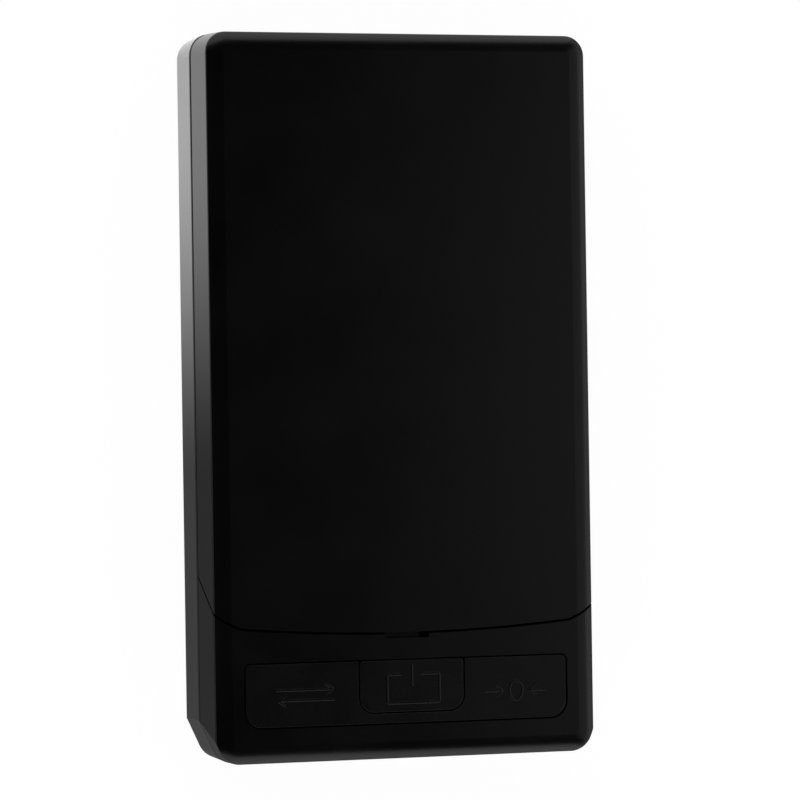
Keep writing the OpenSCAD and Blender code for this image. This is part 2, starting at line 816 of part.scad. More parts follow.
// Outline of the power key, grown by a gap and carried past the opening's top edge by a reach
module power_outline(gap, reach) {
    l = power_l + gap + reach;
    translate([power_x, power_y0 - gap + l / 2])
        plan_outline(power_w + 2 * gap, l, power_top_r, power_r + gap);
}

module key_stem(x, y) {
    translate([x, y, stem_z0]) cylinder(r = stem_r, h = key_top - cap_wall - stem_z0 + eps);
}

module power_key() color("#171718") {
    difference() {
        translate([0, 0, cap_z0]) linear_extrude(height = cap_h) power_outline(0, 0);
        translate([power_x, power_y, cap_z0 - cut]) linear_extrude(height = cap_h - cap_wall + cut)
            plan_outline(power_w - 2 * cap_wall, power_l - 2 * cap_wall, power_top_r, power_r - cap_wall);
    }
    key_stem(power_x, power_y);
    translate([power_x, 0, 0]) bar(power_w / 2, power_y1 - cap_wall, pad_y1 + stop_flange,
        roof_z - dome_rest - cap_wall, roof_z - dome_rest);
}

module side_keys() color("#171718") {
    difference() {
        translate([0, 0, cap_z0]) linear_extrude(height = cap_h) difference() {
            pad_outline(key_gap);
            power_outline(key_gap, pad_l);
        }
        for (s = [-1, 1]) translate([side_x(s), side_y, cap_z0 - cut])
            linear_extrude(height = cap_h - cap_wall + cut)
                plan_outline(side_w(s) - 2 * cap_wall, pad_l - 2 * key_gap - 2 * cap_wall,
                             cap_wall, pad_end_r - cap_wall);
    }
    for (s = [-1, 1]) {
        key_stem(side_x(s), side_y);
        translate([s * (pad_w / 2 - key_gap), 0, 0])
            bar(2 * stop_flange, side_y - stem_r, side_y + stem_r, cap_z0, cap_z0 + stop_flange);
    }
    translate([0, trunnion_y0, cap_z0]) rotate([-90, 0, 0])
        cylinder(r = trunnion_r, h = trunnion_y1 - trunnion_y0);
}

// Silicone dome: thin foot, sloping skirt, flat crown
module dome(x, y) color("#8d8f92") translate([x, y, board_z1]) rotate_extrude() polygon([
    [0, 0], [dome_r, 0], [dome_r, dome_foot], [dome_r - dome_foot, dome_foot],
    [dome_r / 2, dome_h], [0, dome_h]
]);

module power_dome() dome(power_x, power_y);
module mode_dome() dome(side_x(-1), side_y);
module tare_dome() dome(side_x(1), side_y);

module main_board() color("#1f5a36") difference() {
    translate([0, (board_y0 + board_y1) / 2, 0])
        plan_plate(board_w, board_y1 - board_y0, least_r, board_r, board_z0, board_z1);
    board_screw_places() cylinder(r = screw_r + screw_clear, h = case_h);
}

// Sealed controller chip on the underside of the main board
module controller_chip() color("#101011") translate([0, battery_y0 + battery_d / 2, board_z0 - chip_t])
    cylinder(r = chip_r, h = chip_t);

module board_screws() color("#b9bcc0") board_screw_places() pan_screw(board_z0, roof_z - tip_room, true);

// Window outline at its own place, grown by a fit
module window_plate(fit, z0, z1) {
    w = view_w + 2 * window_ledge + 2 * fit;
    l = view_l + 2 * window_ledge + 2 * fit;
    plan_plate(w, l, window_r + fit, window_r + fit, z0, z1);
}

module display_window() color("#3a4046") translate([0, view_y, 0])
    window_plate(0, panel_top - window_t, panel_top - eps);

module display_glass() color("#9fae9a")
    bar(glass_w, view_y - glass_l / 2, view_y + glass_l / 2, glass_z0, panel_bot);

module backlight() color("#e8ecf2")
    bar(glass_w - 2 * light_inset, view_y - view_l / 2, view_y + view_l / 2, display_board_z1, glass_z0);

module zebra_strips() color("#d98aa0") {
    for (s = [-1, 1]) translate([0, view_y + s * (glass_l / 2 - zebra_w), 0])
        bar(glass_w - 2 * light_inset, -zebra_w / 2, zebra_w / 2, display_board_z1, glass_z0);
}

module display_board() color("#1f5a36")
    bar(display_board_w, view_y - display_board_l / 2, view_y + display_board_l / 2,
        display_board_z0, display_board_z1);

// Flat ribbon that climbs from the display board to the main board
module ribbon_cable() color("#c8c2b4") {
    y0 = view_y - display_board_l / 2 + ribbon_tab;
    y1 = board_y1 - ribbon_tab;
    z0 = display_board_z1;
    z1 = board_z0;
    rotate([90, 0, 90]) linear_extrude(height = ribbon_w, center = true) polygon([
        [y0, z0], [y0, z0 + ribbon_t], [y0 - ribbon_tab, z0 + ribbon_t], [y1 + ribbon_tab, z1], [y1, z1],
        [y1, z1 - ribbon_t], [y1 + ribbon_tab - ribbon_t, z1 - ribbon_t], [y0 - ribbon_tab - ribbon_t, z0]
    ]);
}

// Pressed steel pan, open below
module weighing_tray() color("#c6c9cc") translate([0, tray_y, 0]) difference() {
    plan_plate(tray_w, tray_l, tray_r, tray_r, tray_z1 - tray_rim, tray_z1);
    plan_plate(tray_w - 2 * tray_t, tray_l - 2 * tray_t, tray_r - tray_t, tray_r - tray_t,
               tray_z1 - tray_rim - cut, carrier_z1);
}

// Plastic plate under the pan, with a post down to the load cell
module tray_carrier() color("#2a2b2d") difference() {
    union() {
        translate([0, tray_y, 0]) plan_plate(carrier_w, carrier_l, tray_r, tray_r, carrier_z0, carrier_z1);
        bar(post_w, post_y - post_l / 2, post_y + post_l / 2, cell_z1, carrier_z0 + eps);
    }
    for (x = [-1, 1], y = [-1, 1]) translate([x * relief_x, tray_y + y * carrier_l / 4, carrier_z0 - cut])
        cylinder(r = relief_r, h = carrier_t + 2 * cut);
    cell_screw_places(post_y) {
        translate([0, 0, carrier_seat]) cylinder(r = screw_head_r + screw_clear, h = carrier_t + 2 * cut);
        cylinder(r = screw_r + screw_clear, h = case_h);
    }
}

module carrier_screws() color("#b9bcc0")
    cell_screw_places(post_y) pan_screw(carrier_seat, cell_z0 + pedestal_h, false);

// Aluminium bending bar, thinned by two holes and the slot that joins them
module load_cell() color("#b4b8bd") difference() {
    bar(cell_w, cell_y0, cell_y1, cell_z0, cell_z1);
    for (s = [-1, 1]) cross_rod(cell_hole_r, cell_w + 2 * cut, cell_y + s * cell_web, cell_z);
    bar(cell_w + 2 * cut, cell_y - cell_web, cell_y + cell_web,
        cell_z - cell_slot / 2, cell_z + cell_slot / 2);
    for (y = [cell_y0 + clamp_l / 2, post_y]) cell_screw_places(y)
        cylinder(r = screw_r + thread_clear, h = case_h);
}

module strain_gauges() color("#e9e4d6") for (s = [-1, 1]) translate([0, cell_y + s * cell_web, 0]) {
    bar(cell_w / 2, -cell_hole_r, cell_hole_r, cell_z1, cell_z1 + gauge_t);
    bar(cell_w / 2, -cell_hole_r, cell_hole_r, cell_z0 - gauge_t, cell_z0);
}

module load_cell_screws() color("#b9bcc0")
    cell_screw_places(cell_y0 + clamp_l / 2) pan_screw(base_z0 + cell_head_seat, cell_z1 - pedestal_h, true);

// One cell along X with its nub towards a side
module battery(y, side) translate([0, y, battery_z]) rotate([0, 90 * side, 0]) {
    translate([0, 0, -battery_l / 2]) cylinder(r = battery_r, h = battery_l - nub_h);
    cylinder(r = nub_r, h = battery_l / 2);
}

module battery_cells() color("#3f4347") {
    battery(battery_y0, 1);
    battery(battery_y1, -1);
}

// Plate with a pressed button at the nub end and a sprung leaf at the flat end
module contact_pair(y, side) {
    plate_x = bay_half - contact_t;
    for (s = [-1, 1]) translate([s * (plate_x + contact_t / 2), y, 0])
        bar(contact_t, -battery_r / 2, battery_r / 2, floor_top, battery_z + battery_r / 2);
    translate([side * battery_l / 2, y, battery_z]) rotate([0, 90 * side, 0])
        cylinder(r = nub_r, h = plate_x - battery_l / 2);
    mirror([side > 0 ? 1 : 0, 0, 0]) translate([0, y, 0]) rotate([-90, 0, 0])
        linear_extrude(height = battery_r / 2, center = true) polygon([
            [plate_x, -battery_z - nub_r], [battery_l / 2, -battery_z], [plate_x, -battery_z + nub_r],
            [plate_x, -battery_z + nub_r - contact_t], [battery_l / 2 + contact_t, -battery_z],
            [plate_x, -battery_z - nub_r + contact_t]
        ]);
}

module battery_contacts() color("#d0d2d4") {
    contact_pair(battery_y0, 1);
    contact_pair(battery_y1, -1);
}

// Sliding door with a tongue along each side and grip grooves outside
module battery_door() color("#1a1a1b") difference() {
    intersection() {
        base_block();
        union() {
            bar(2 * (door_half - door_fit), -half_l - cut, door_y1 - door_fit,
                base_z0 - cut, base_z0 + door_t);
            bar(2 * (door_half + tongue_w) - 2 * door_fit, -half_l + base_wall, door_y1 - door_fit,
                door_groove_z0 + door_fit, base_z0 + door_t);
        }
    }
    for (i = [0 : grip_count - 1])
        translate([0, grip_y0 + i * grip_pitch, 0])
            bar(grip_w, 0, grip_pitch / 2, base_z0 - cut, base_z0 + grip_d);
}

module case_screws() color("#b9bcc0") case_screw_places() pan_screw(case_head_seat, case_screw_tip, true);

module rubber_feet() color("#222324") foot_places() cylinder(r = foot_r, h = foot_h + foot_seat);

base_case();
top_case();
lid();
hinge_pins();
power_key();
side_keys();
power_dome();
mode_dome();
tare_dome();
main_board();
controller_chip();
board_screws();
display_window();
display_glass();
backlight();
zebra_strips();
display_board();
ribbon_cable();
weighing_tray();
tray_carrier();
carrier_screws();
load_cell();
strain_gauges();
load_cell_screws();
battery_cells();
battery_contacts();
battery_door();
case_screws();
rubber_feet();
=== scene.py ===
import bpy
import bmesh
import math
from mathutils import Matrix, Vector


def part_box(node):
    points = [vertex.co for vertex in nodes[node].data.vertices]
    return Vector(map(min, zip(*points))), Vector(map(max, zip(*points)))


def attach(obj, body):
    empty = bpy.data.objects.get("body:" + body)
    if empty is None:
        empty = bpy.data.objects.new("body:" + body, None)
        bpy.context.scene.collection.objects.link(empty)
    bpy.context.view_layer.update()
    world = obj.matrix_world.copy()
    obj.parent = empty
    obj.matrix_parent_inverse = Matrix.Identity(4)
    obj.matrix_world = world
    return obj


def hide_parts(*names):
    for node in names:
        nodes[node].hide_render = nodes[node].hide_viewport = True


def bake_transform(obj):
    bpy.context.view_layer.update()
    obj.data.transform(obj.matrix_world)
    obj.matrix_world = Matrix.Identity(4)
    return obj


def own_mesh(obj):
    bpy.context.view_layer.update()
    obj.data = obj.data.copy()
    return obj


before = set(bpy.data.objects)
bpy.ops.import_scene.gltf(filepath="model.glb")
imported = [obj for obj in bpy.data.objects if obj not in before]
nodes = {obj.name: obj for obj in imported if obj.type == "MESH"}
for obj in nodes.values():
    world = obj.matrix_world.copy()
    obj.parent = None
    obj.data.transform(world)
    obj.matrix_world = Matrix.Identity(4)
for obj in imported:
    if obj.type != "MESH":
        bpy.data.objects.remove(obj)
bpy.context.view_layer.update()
scene = bpy.context.scene
scene.view_settings.view_transform = "Standard"
mm = 0.001


def hexColour(text):  # sRGB hex to linear RGBA
    parts = [int(text[i:i + 2], 16) / 255 for i in (1, 3, 5)]
    return [c / 12.92 if c <= 0.04045 else ((c + 0.055) / 1.055) ** 2.4 for c in parts] + [1]


def addNode(tree, kind, settings=None, links=None):
    node = tree.nodes.new(kind)
    for name, value in (settings or {}).items():
        if isinstance(name, str) and hasattr(node, name):
            setattr(node, name, value)
        else:
            node.inputs[name].default_value = value
    for name, socket in (links or {}).items():
        tree.links.new(socket, node.inputs[name])
    return node


def newMaterial(name, settings):
    material = bpy.data.materials.new(name)
    material.use_nodes = True
    shader = material.node_tree.nodes["Principled BSDF"]
    for socket, value in settings.items():
        shader.inputs[socket].default_value = value
    return material, material.node_tree, shader


def setRamp(node, stops):  # stops are (position, linear colour)
    stops = list(stops)
    ramp = node.color_ramp
    while len(ramp.elements) < len(stops):
        ramp.elements.new(0.5)
    for element, (position, colour) in zip(ramp.elements, stops):
        element.position = position
        element.color = colour


def grey(value):
    return (value, value, value, 1)


# camera: pixels, degrees and millimetres

cameraSet = {"focalPx": 4157, "framePx": 800, "yaw": 17.70, "pitch": -0.07, "roll": 0.86,
             "slide": (-5.76, 0.63), "distance": 743, "sensor": 36, "clip": (0.05, 20)}


def makeCamera(s):
    turn = (Matrix.Rotation(math.radians(s["roll"]), 4, "Z")
            @ Matrix.Rotation(math.radians(s["pitch"]), 4, "X")
            @ Matrix.Rotation(math.radians(s["yaw"]), 4, "Y"))
    toCamera = Matrix.Translation((s["slide"][0] * mm, s["slide"][1] * mm, -s["distance"] * mm)) @ turn
    data = bpy.data.cameras.new("photoCamera")
    data.sensor_width = s["sensor"]
    data.lens = s["focalPx"] / s["framePx"] * s["sensor"]
    data.clip_start, data.clip_end = s["clip"]
    camera = bpy.data.objects.new("photoCamera", data)
    camera.matrix_world = toCamera.inverted()
    scene.collection.objects.link(camera)
    scene.camera = camera


makeCamera(cameraSet)
print("camera made")

# studio: a pale sweep that rises all round, wide soft lamps before and behind, a dim panel at the right

studio = {"floorRadius": 1.3, "wallRadius": 2.1, "wallHeight": 1.5, "steps": 14, "turns": 96,
          "floor": "#6A6A6A", "floorRoughness": 0.9, "whiteSeen": 0.95,
          # glow levels of the painted reflection on the sweep: at the object's near end, behind it and on the
          # wall
          "paintedReflection": {"near": 0.08, "far": 0.94, "wall": 0.45},
          "nearToFar": (-0.015, 0.05), "floorToWall": (0.25, 1.3),
          "ceiling": "#8A8A8C", "ceilingLevel": 0.03, "lampAim": (0, 0, 0.01)}
lamps = [{"name": "frontLamp", "place": (-0.20, -0.95, 0.54), "width": 2.4, "height": 1.2, "watts": 6},
         {"name": "backLamp", "place": (-0.20, 0.95, 0.54), "width": 2.4, "height": 1.2, "watts": 6},
         {"name": "rightPanel", "place": (0.60, 0.0, 0.62), "width": 0.8, "height": 0.8, "watts": 0.42}]


def makeSweep(s):
    profile = [(s["floorRadius"], 0.0)]
    for i in range(1, s["steps"] + 1):
        a = math.radians(90) * i / s["steps"]
        profile.append((s["floorRadius"] + (s["wallRadius"] - s["floorRadius"]) * math.sin(a),
                        s["wallHeight"] * (1 - math.cos(a))))
    angles = [2 * math.pi * k / s["turns"] for k in range(s["turns"])]
    bm = bmesh.new()
    rings = [[bm.verts.new((0, 0, 0))]]
    for r, z in profile:
        rings.append([bm.verts.new((r * math.cos(a), r * math.sin(a), z)) for a in angles])
    for low, high in zip(rings, rings[1:]):
        for k in range(s["turns"]):
            n = (k + 1) % s["turns"]
            corners = [low[0], high[k], high[n]] if len(low) == 1 else [low[k], high[k], high[n], low[n]]
            bm.faces.new(corners).smooth = True
    mesh = bpy.data.meshes.new("studioSweep")
    bm.to_mesh(mesh)
    bm.free()
    sweep = bpy.data.objects.new("studioSweep", mesh)
    scene.collection.objects.link(sweep)

    # painted paper sweep: matt, evenly white to the eye with the shadow kept;
    # in glossy and transmission rays it glows as a painted reflection, white behind the object and falling off
    # towards its near end, with a dimmer level on the wall
    material, tree, shader = newMaterial("paperSweepWithPaintedReflection", {
        "Base Color": hexColour(s["floor"]), "Roughness": s["floorRoughness"]})
    path = addNode(tree, "ShaderNodeLightPath")
    place = addNode(tree, "ShaderNodeTexCoord").outputs["Object"]
    axes = addNode(tree, "ShaderNodeSeparateXYZ", None, {0: place})
    # painted reflection: its level rises from the near end to behind the object, then fades to the wall level
    # further out
    paintedReflectionFalloff = addNode(tree, "ShaderNodeMapRange", {
        "interpolation_type": "SMOOTHSTEP", "From Min": s["nearToFar"][0], "From Max": s["nearToFar"][1],
        "To Min": s["paintedReflection"]["near"], "To Max": s["paintedReflection"]["far"]}, {"Value": axes.outputs["Y"]})
    reach = addNode(tree, "ShaderNodeVectorMath", {"operation": "LENGTH"}, {0: place})
    wallShare = addNode(tree, "ShaderNodeMapRange", {
        "From Min": s["floorToWall"][0], "From Max": s["floorToWall"][1]}, {"Value": reach.outputs["Value"]})
    level = addNode(tree, "ShaderNodeMix", {3: s["paintedReflection"]["wall"]},  # 0 is the share, 2 and 3 the levels
                    {0: wallShare.outputs["Result"], 2: paintedReflectionFalloff.outputs["Result"]})
    # the painted reflection shows only in glossy and transmission rays
    paintedReflection = addNode(tree, "ShaderNodeMath", {"operation": "MAXIMUM"},
                       {0: path.outputs["Is Glossy Ray"], 1: path.outputs["Is Transmission Ray"]})
    paintedReflection = addNode(tree, "ShaderNodeMath", {"operation": "MULTIPLY"},
                       {0: paintedReflection.outputs[0], 1: level.outputs[0]})
    share = addNode(tree, "ShaderNodeMath", {"operation": "MULTIPLY_ADD", 1: s["whiteSeen"]},
                    {0: path.outputs["Is Camera Ray"], 2: paintedReflection.outputs[0]})
    white = addNode(tree, "ShaderNodeEmission", None, {"Strength": share.outputs[0]})
    both = addNode(tree, "ShaderNodeAddShader", None, {0: shader.outputs[0], 1: white.outputs[0]})
    tree.links.new(both.outputs[0], tree.nodes["Material Output"].inputs["Surface"])
    mesh.materials.append(material)


def makeCeiling(s):
    world = bpy.data.worlds.new("studioCeiling")
    world.use_nodes = True
    backdrop = world.node_tree.nodes["Background"]
    backdrop.inputs["Color"].default_value = hexColour(s["ceiling"])
    backdrop.inputs["Strength"].default_value = s["ceilingLevel"]
    scene.world = world


def makeLamp(s, aim):
    data = bpy.data.lights.new(s["name"], "AREA")
    data.shape = "ELLIPSE"
    data.size = s["width"]
    data.size_y = s["height"]
    data.energy = s["watts"]
    lamp = bpy.data.objects.new(s["name"], data)
    lamp.location = s["place"]
    lamp.rotation_mode = "QUATERNION"
    lamp.rotation_quaternion = (Vector(aim) - Vector(s["place"])).to_track_quat("-Z", "Y")
    lamp.visible_camera = False
    scene.collection.objects.link(lamp)


makeSweep(studio)
makeCeiling(studio)
for lampSet in lamps:
    makeLamp(lampSet, studio["lampAim"])
print("studio made")

# materials: lengths are in millimetres, and a pair is a low and a high value

absSkin = {"ior": 1.53, "coatRoughness": 0.12, "dust": "#FFFFFF", "dustRoughness": 0.45, "cloudDetail": 4,
           "grainDetail": 2, "toneStops": (0.35, 0.7), "grainShare": 0.35, "clouding": (0.4, 1.0),
           "grainDepth": 0.02, "sheen": 0.004, "coat": 0}
baseSkin = absSkin | {"dark": "#121213", "light": "#19191A", "rough": (0.14, 0.22), "grain": 0.22, "cloud": 14,
                      "relief": 0.2, "coat": 0.55}
noseSkin = absSkin | {"dark": "#070708", "light": "#0B0B0C", "rough": (0.20, 0.27), "grain": 0.22, "cloud": 14,
                      "relief": 0.25}
lidSkin = absSkin | {"dark": "#060607", "light": "#0A0A0B", "rough": (0.20, 0.27), "grain": 0.22, "cloud": 18,
                     "relief": 0.22}
keySkin = absSkin | {"dark": "#070708", "light": "#0C0C0D", "rough": (0.24, 0.32), "grain": 0.18, "cloud": 8,
                     "relief": 0.25}
carrierSkin = absSkin | {"dark": "#1C1C1E", "light": "#262628", "rough": (0.45, 0.6), "grain": 0.3, "cloud": 10,
                         "relief": 0.3, "sheen": 0.05}


def mouldedAbs(name, s):
    # black ABS from a spark-eroded mould: a satin skin with a fine even grain,
    # a faint cloudiness in its gloss and a little pale dust that shows at low angles
    material, tree, shader = newMaterial(name, {
        "IOR": s["ior"], "Coat Weight": s["coat"], "Coat Roughness": s["coatRoughness"],
        "Sheen Weight": s["sheen"], "Sheen Roughness": s["dustRoughness"], "Sheen Tint": hexColour(s["dust"])})
    place = addNode(tree, "ShaderNodeTexCoord").outputs["Object"]
    cloud = addNode(tree, "ShaderNodeTexNoise", {
        "Scale": 1 / (s["cloud"] * mm), "Detail": s["cloudDetail"]}, {"Vector": place})
    grain = addNode(tree, "ShaderNodeTexNoise", {
        "Scale": 1 / (s["grain"] * mm), "Detail": s["grainDetail"]}, {"Vector": place})
    dark = addNode(tree, "ShaderNodeValToRGB", None, {"Fac": cloud.outputs["Fac"]})
    setRamp(dark, zip(s["toneStops"], (hexColour(s["dark"]), hexColour(s["light"]))))
    tree.links.new(dark.outputs["Color"], shader.inputs["Base Color"])
    mixed = addNode(tree, "ShaderNodeMath", {"operation": "MULTIPLY_ADD", 1: s["grainShare"]},
                    {0: grain.outputs["Fac"], 2: cloud.outputs["Fac"]})
    rough = addNode(tree, "ShaderNodeMapRange", {
        "From Min": s["clouding"][0], "From Max": s["clouding"][1],
        "To Min": s["rough"][0], "To Max": s["rough"][1]}, {"Value": mixed.outputs[0]})
    tree.links.new(rough.outputs["Result"], shader.inputs["Roughness"])
    bump = addNode(tree, "ShaderNodeBump", {"Strength": s["relief"], "Distance": s["grainDepth"] * mm},
                   {"Height": grain.outputs["Fac"]})
    tree.links.new(bump.outputs["Normal"], shader.inputs["Normal"])
    return material


# the streaks are drawn coarser than the real 0.05 mm brushing, to show
stainless = {"colour": "#C7C9CB", "streakLong": 40, "streakFine": 0.22, "detail": 3, "rough": (0.2, 0.42),
             "relief": 0.12, "depth": 0.02}


def brushedStainless(s):
    # rolled stainless sheet brushed along one way: long fine streaks that break up its gloss
    material, tree, shader = newMaterial("brushedStainless", {
        "Base Color": hexColour(s["colour"]), "Metallic": 1})
    place = addNode(tree, "ShaderNodeTexCoord").outputs["Object"]
    along, across = 1 / (s["streakLong"] * mm), 1 / (s["streakFine"] * mm)
    stretch = addNode(tree, "ShaderNodeMapping", {"Scale": (along, across, across)}, {"Vector": place})
    lines = addNode(tree, "ShaderNodeTexNoise", {"Scale": 1, "Detail": s["detail"]},
                    {"Vector": stretch.outputs[0]})
    rough = addNode(tree, "ShaderNodeMapRange", {"To Min": s["rough"][0], "To Max": s["rough"][1]},
                    {"Value": lines.outputs["Fac"]})
    tree.links.new(rough.outputs["Result"], shader.inputs["Roughness"])
    bump = addNode(tree, "ShaderNodeBump", {"Strength": s["relief"], "Distance": s["depth"] * mm},
                   {"Height": lines.outputs["Fac"]})
    tree.links.new(bump.outputs["Normal"], shader.inputs["Normal"])
    return material


metalGloss = {"smoother": 0.08, "rougher": 0.1, "detail": 3}


def workedMetal(name, colour, roughness, grain, s):
    # plated, ground or milled metal: an even gloss, slightly mottled by how it was worked
    material, tree, shader = newMaterial(name, {"Base Color": hexColour(colour), "Metallic": 1})
    place = addNode(tree, "ShaderNodeTexCoord").outputs["Object"]
    mottle = addNode(tree, "ShaderNodeTexNoise", {"Scale": 1 / (grain * mm), "Detail": s["detail"]},
                     {"Vector": place})
    rough = addNode(tree, "ShaderNodeMapRange", {
        "To Min": roughness - s["smoother"], "To Max": roughness + s["rougher"]},
        {"Value": mottle.outputs["Fac"]})
    tree.links.new(rough.outputs["Result"], shader.inputs["Roughness"])
    return material


polymerSkin = {"ior": 1.5, "detail": 5, "toneStops": (0.3, 0.75), "relief": 0.3, "depth": 0.03}


def castPolymer(name, dark, light, roughness, grain, s):
    # moulded rubber, cast resin or film: one soft tone with a fine blotchy bloom
    material, tree, shader = newMaterial(name, {"Roughness": roughness, "IOR": s["ior"]})
    place = addNode(tree, "ShaderNodeTexCoord").outputs["Object"]
    bloom = addNode(tree, "ShaderNodeTexNoise", {"Scale": 1 / (grain * mm), "Detail": s["detail"]},
                    {"Vector": place})
    tone = addNode(tree, "ShaderNodeValToRGB", None, {"Fac": bloom.outputs["Fac"]})
    setRamp(tone, zip(s["toneStops"], (hexColour(dark), hexColour(light))))
    tree.links.new(tone.outputs["Color"], shader.inputs["Base Color"])
    bump = addNode(tree, "ShaderNodeBump", {"Strength": s["relief"], "Distance": s["depth"] * mm},
                   {"Height": bloom.outputs["Fac"]})
    tree.links.new(bump.outputs["Normal"], shader.inputs["Normal"])
    return material


acrylic = {"colour": "#E6EAEA", "ior": 1.49, "wipe": 6, "detail": 4, "smear": 1, "rough": (0.02, 0.09)}


def clearAcrylic(s):
    # polished acrylic sheet: clear, a faint smoke tint, wiped streaks in its gloss
    material, tree, shader = newMaterial("polishedAcrylic", {
        "Base Color": hexColour(s["colour"]), "IOR": s["ior"], "Transmission Weight": 1})
    place = addNode(tree, "ShaderNodeTexCoord").outputs["Object"]
    wipe = addNode(tree, "ShaderNodeTexNoise", {
        "Scale": 1 / (s["wipe"] * mm), "Detail": s["detail"], "Distortion": s["smear"]}, {"Vector": place})
    rough = addNode(tree, "ShaderNodeMapRange", {"To Min": s["rough"][0], "To Max": s["rough"][1]},
                    {"Value": wipe.outputs["Fac"]})
    tree.links.new(rough.outputs["Result"], shader.inputs["Roughness"])
    return material


fieldGlass = {"dark": "#94A08C", "light": "#A3AE98", "roughness": 0.35, "coat": 0.3, "coatRoughness": 0.04,
              "ior": 1.5, "haze": 9, "detail": 3, "toneStops": (0.3, 0.7)}
crystal = {"dark": "#16191C", "light": "#1F2427", "roughness": 0.35, "coat": 0, "coatRoughness": 0.03,
           "ior": 1.5, "haze": 3, "detail": 2, "toneStops": (0.3, 0.7)}


def displayLayer(name, s):
    # float glass over a reflective polariser gives a grey green field under a clear gloss,
    # and switched liquid crystal a flat blue-black with a trace of cloud
    material, tree, shader = newMaterial(name, {
        "Roughness": s["roughness"], "Coat Weight": s["coat"], "Coat Roughness": s["coatRoughness"],
        "IOR": s["ior"]})
    place = addNode(tree, "ShaderNodeTexCoord").outputs["Object"]
    haze = addNode(tree, "ShaderNodeTexNoise", {"Scale": 1 / (s["haze"] * mm), "Detail": s["detail"]},
                   {"Vector": place})
    tone = addNode(tree, "ShaderNodeValToRGB", None, {"Fac": haze.outputs["Fac"]})
    setRamp(tone, zip(s["toneStops"], (hexColour(s["dark"]), hexColour(s["light"]))))
    tree.links.new(tone.outputs["Color"], shader.inputs["Base Color"])
    return material


mask = {"roughness": 0.32, "ior": 1.5, "unit": 1, "gap": 0.12, "length": 5.0, "pitch": 1.1, "shift": 0.35,
        "field": "#1A5233", "fieldToo": "#17492E", "track": "#2F7A4E", "relief": 0.3, "depth": 0.03}


def solderMask(s):
    # green solder mask over copper: narrow tracks stand up paler under the lacquer
    material, tree, shader = newMaterial("solderMask", {"Roughness": s["roughness"], "IOR": s["ior"]})
    place = addNode(tree, "ShaderNodeTexCoord").outputs["Object"]
    track = addNode(tree, "ShaderNodeTexBrick", {
        "offset": s["shift"], "Scale": 1 / (s["unit"] * mm), "Mortar Size": s["gap"],
        "Brick Width": s["length"], "Row Height": s["pitch"], "Color1": hexColour(s["field"]),
        "Color2": hexColour(s["fieldToo"]), "Mortar": hexColour(s["track"])}, {"Vector": place})
    tree.links.new(track.outputs["Color"], shader.inputs["Base Color"])
    bump = addNode(tree, "ShaderNodeBump", {"Strength": s["relief"], "Distance": s["depth"] * mm},
                   {"Height": track.outputs["Fac"]})
    tree.links.new(bump.outputs["Normal"], shader.inputs["Normal"])
    return material


sleeve = {"halfLength": 22.25, "roughness": 0.3, "ior": 1.5, "coat": 0.4, "coatRoughness": 0.1,
          "can": "#B9BCBE", "band": "#A8622F", "body": "#1B1D20", "bandFrom": 0.03, "bodyFrom": 0.3,
          "canFrom": 0.97}


def cellSleeve(s):
    # printed film shrunk on a steel can: a dark body with one copper band towards an end
    material, tree, shader = newMaterial("printedCellSleeve", {
        "Roughness": s["roughness"], "IOR": s["ior"], "Coat Weight": s["coat"],
        "Coat Roughness": s["coatRoughness"]})
    place = addNode(tree, "ShaderNodeTexCoord").outputs["Object"]
    axes = addNode(tree, "ShaderNodeSeparateXYZ", None, {0: place})
    along = addNode(tree, "ShaderNodeMapRange", {
        "From Min": -s["halfLength"] * mm, "From Max": s["halfLength"] * mm}, {"Value": axes.outputs["X"]})
    bands = [(0.0, hexColour(s["can"])), (s["bandFrom"], hexColour(s["band"])),
             (s["bodyFrom"], hexColour(s["body"])), (s["canFrom"], hexColour(s["can"]))]
    bareEnds = [(0.0, grey(1)), (s["bandFrom"], grey(0)), (s["canFrom"], grey(1))]
    for stops, socket in ((bands, "Base Color"), (bareEnds, "Metallic")):
        ramp = addNode(tree, "ShaderNodeValToRGB", None, {"Fac": along.outputs["Result"]})
        ramp.color_ramp.interpolation = "CONSTANT"
        setRamp(ramp, stops)
        tree.links.new(ramp.outputs["Color"], shader.inputs[socket])
    return material


baseAbs = mouldedAbs("mouldedBaseAbs", baseSkin)
noseAbs = mouldedAbs("mouldedNoseAbs", noseSkin)
lidAbs = mouldedAbs("mouldedLidAbs", lidSkin)
keyAbs = mouldedAbs("mouldedKeyAbs", keySkin)
carrierAbs = mouldedAbs("mouldedCarrierAbs", carrierSkin)
trayMetal = brushedStainless(stainless)
pinMetal = workedMetal("groundPinSteel", "#B8BABD", 0.22, 1.5, metalGloss)
screwMetal = workedMetal("zincPlatedSteel", "#AEB1B5", 0.32, 0.8, metalGloss)
contactMetal = workedMetal("nickelPlatedSpring", "#C4C2BC", 0.28, 1.2, metalGloss)
cellMetal = workedMetal("milledAluminium", "#BFC2C6", 0.4, 0.5, metalGloss)
footRubber = castPolymer("mouldedFootRubber", "#141415", "#202021", 0.85, 0.6, polymerSkin)
domeRubber = castPolymer("mouldedSilicone", "#8A8D90", "#A2A5A8", 0.6, 1.5, polymerSkin)
zebraRubber = castPolymer("layeredContactRubber", "#C07C8E", "#D89AAA", 0.6, 0.8, polymerSkin)
gaugeSeal = castPolymer("pottedGaugeSeal", "#E2DCCB", "#F0EBDD", 0.45, 1.2, polymerSkin)
ribbonFilm = castPolymer("laminatedRibbonFilm", "#B8B2A2", "#CFC9BA", 0.4, 1.0, polymerSkin)
chipEpoxy = castPolymer("dripMouldedEpoxy", "#0B0B0C", "#141416", 0.3, 1.0, polymerSkin)
